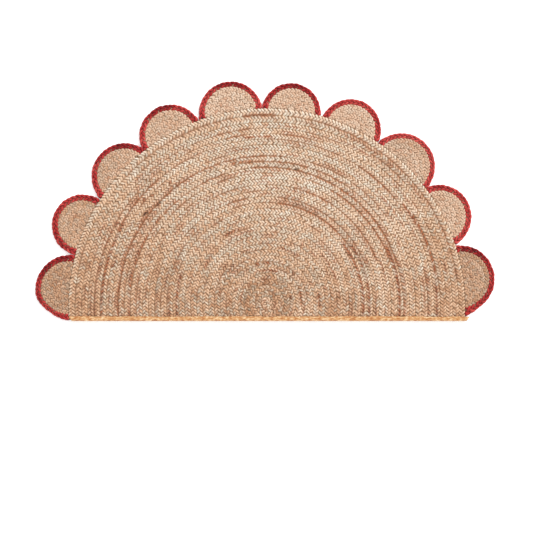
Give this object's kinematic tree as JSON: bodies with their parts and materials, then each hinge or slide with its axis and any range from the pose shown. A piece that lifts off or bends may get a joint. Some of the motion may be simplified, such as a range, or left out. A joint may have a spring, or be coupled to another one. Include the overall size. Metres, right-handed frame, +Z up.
{
  "type": "half moon doormat",
  "caption": "Half-round doormat of coiled jute braid with a scalloped rim edged in red braid and a tape over its straight edge.",
  "frame": {"origin": "start of the panel's coil, on the floor: 36.2 mm in from the middle of the straight edge", "axes": "+X along the straight edge, +Y from the straight edge towards the scallops, +Z up from the floor"},
  "size_m": [0.8991, 0.4687, 0.008],
  "materials": {
    "panel_jute": "coarse three-strand jute braid, matt, cream to orange-brown",
    "scallop_jute": "three-strand jute braid, matt, a little paler than the panel",
    "red_braid": "dyed red three-strand braid, matt",
    "edge_tape": "woven golden tan tape, matt"
  },
  "bodies": {
    "root": {"centre_panel": "panel_jute", "scallop_01": "scallop_jute", "scallop_02": "scallop_jute", "scallop_03": "scallop_jute", "scallop_04": "scallop_jute", "scallop_05": "scallop_jute", "scallop_06": "scallop_jute", "scallop_07": "scallop_jute", "scallop_08": "scallop_jute", "scallop_09": "scallop_jute", "scallop_10": "scallop_jute", "red_braid_01": "red_braid", "red_braid_02": "red_braid", "red_braid_03": "red_braid", "red_braid_04": "red_braid", "red_braid_05": "red_braid", "red_braid_06": "red_braid", "red_braid_07": "red_braid", "red_braid_08": "red_braid", "red_braid_09": "red_braid", "red_braid_10": "red_braid", "edge_tape": "edge_tape"}
  },
  "joints": []
}
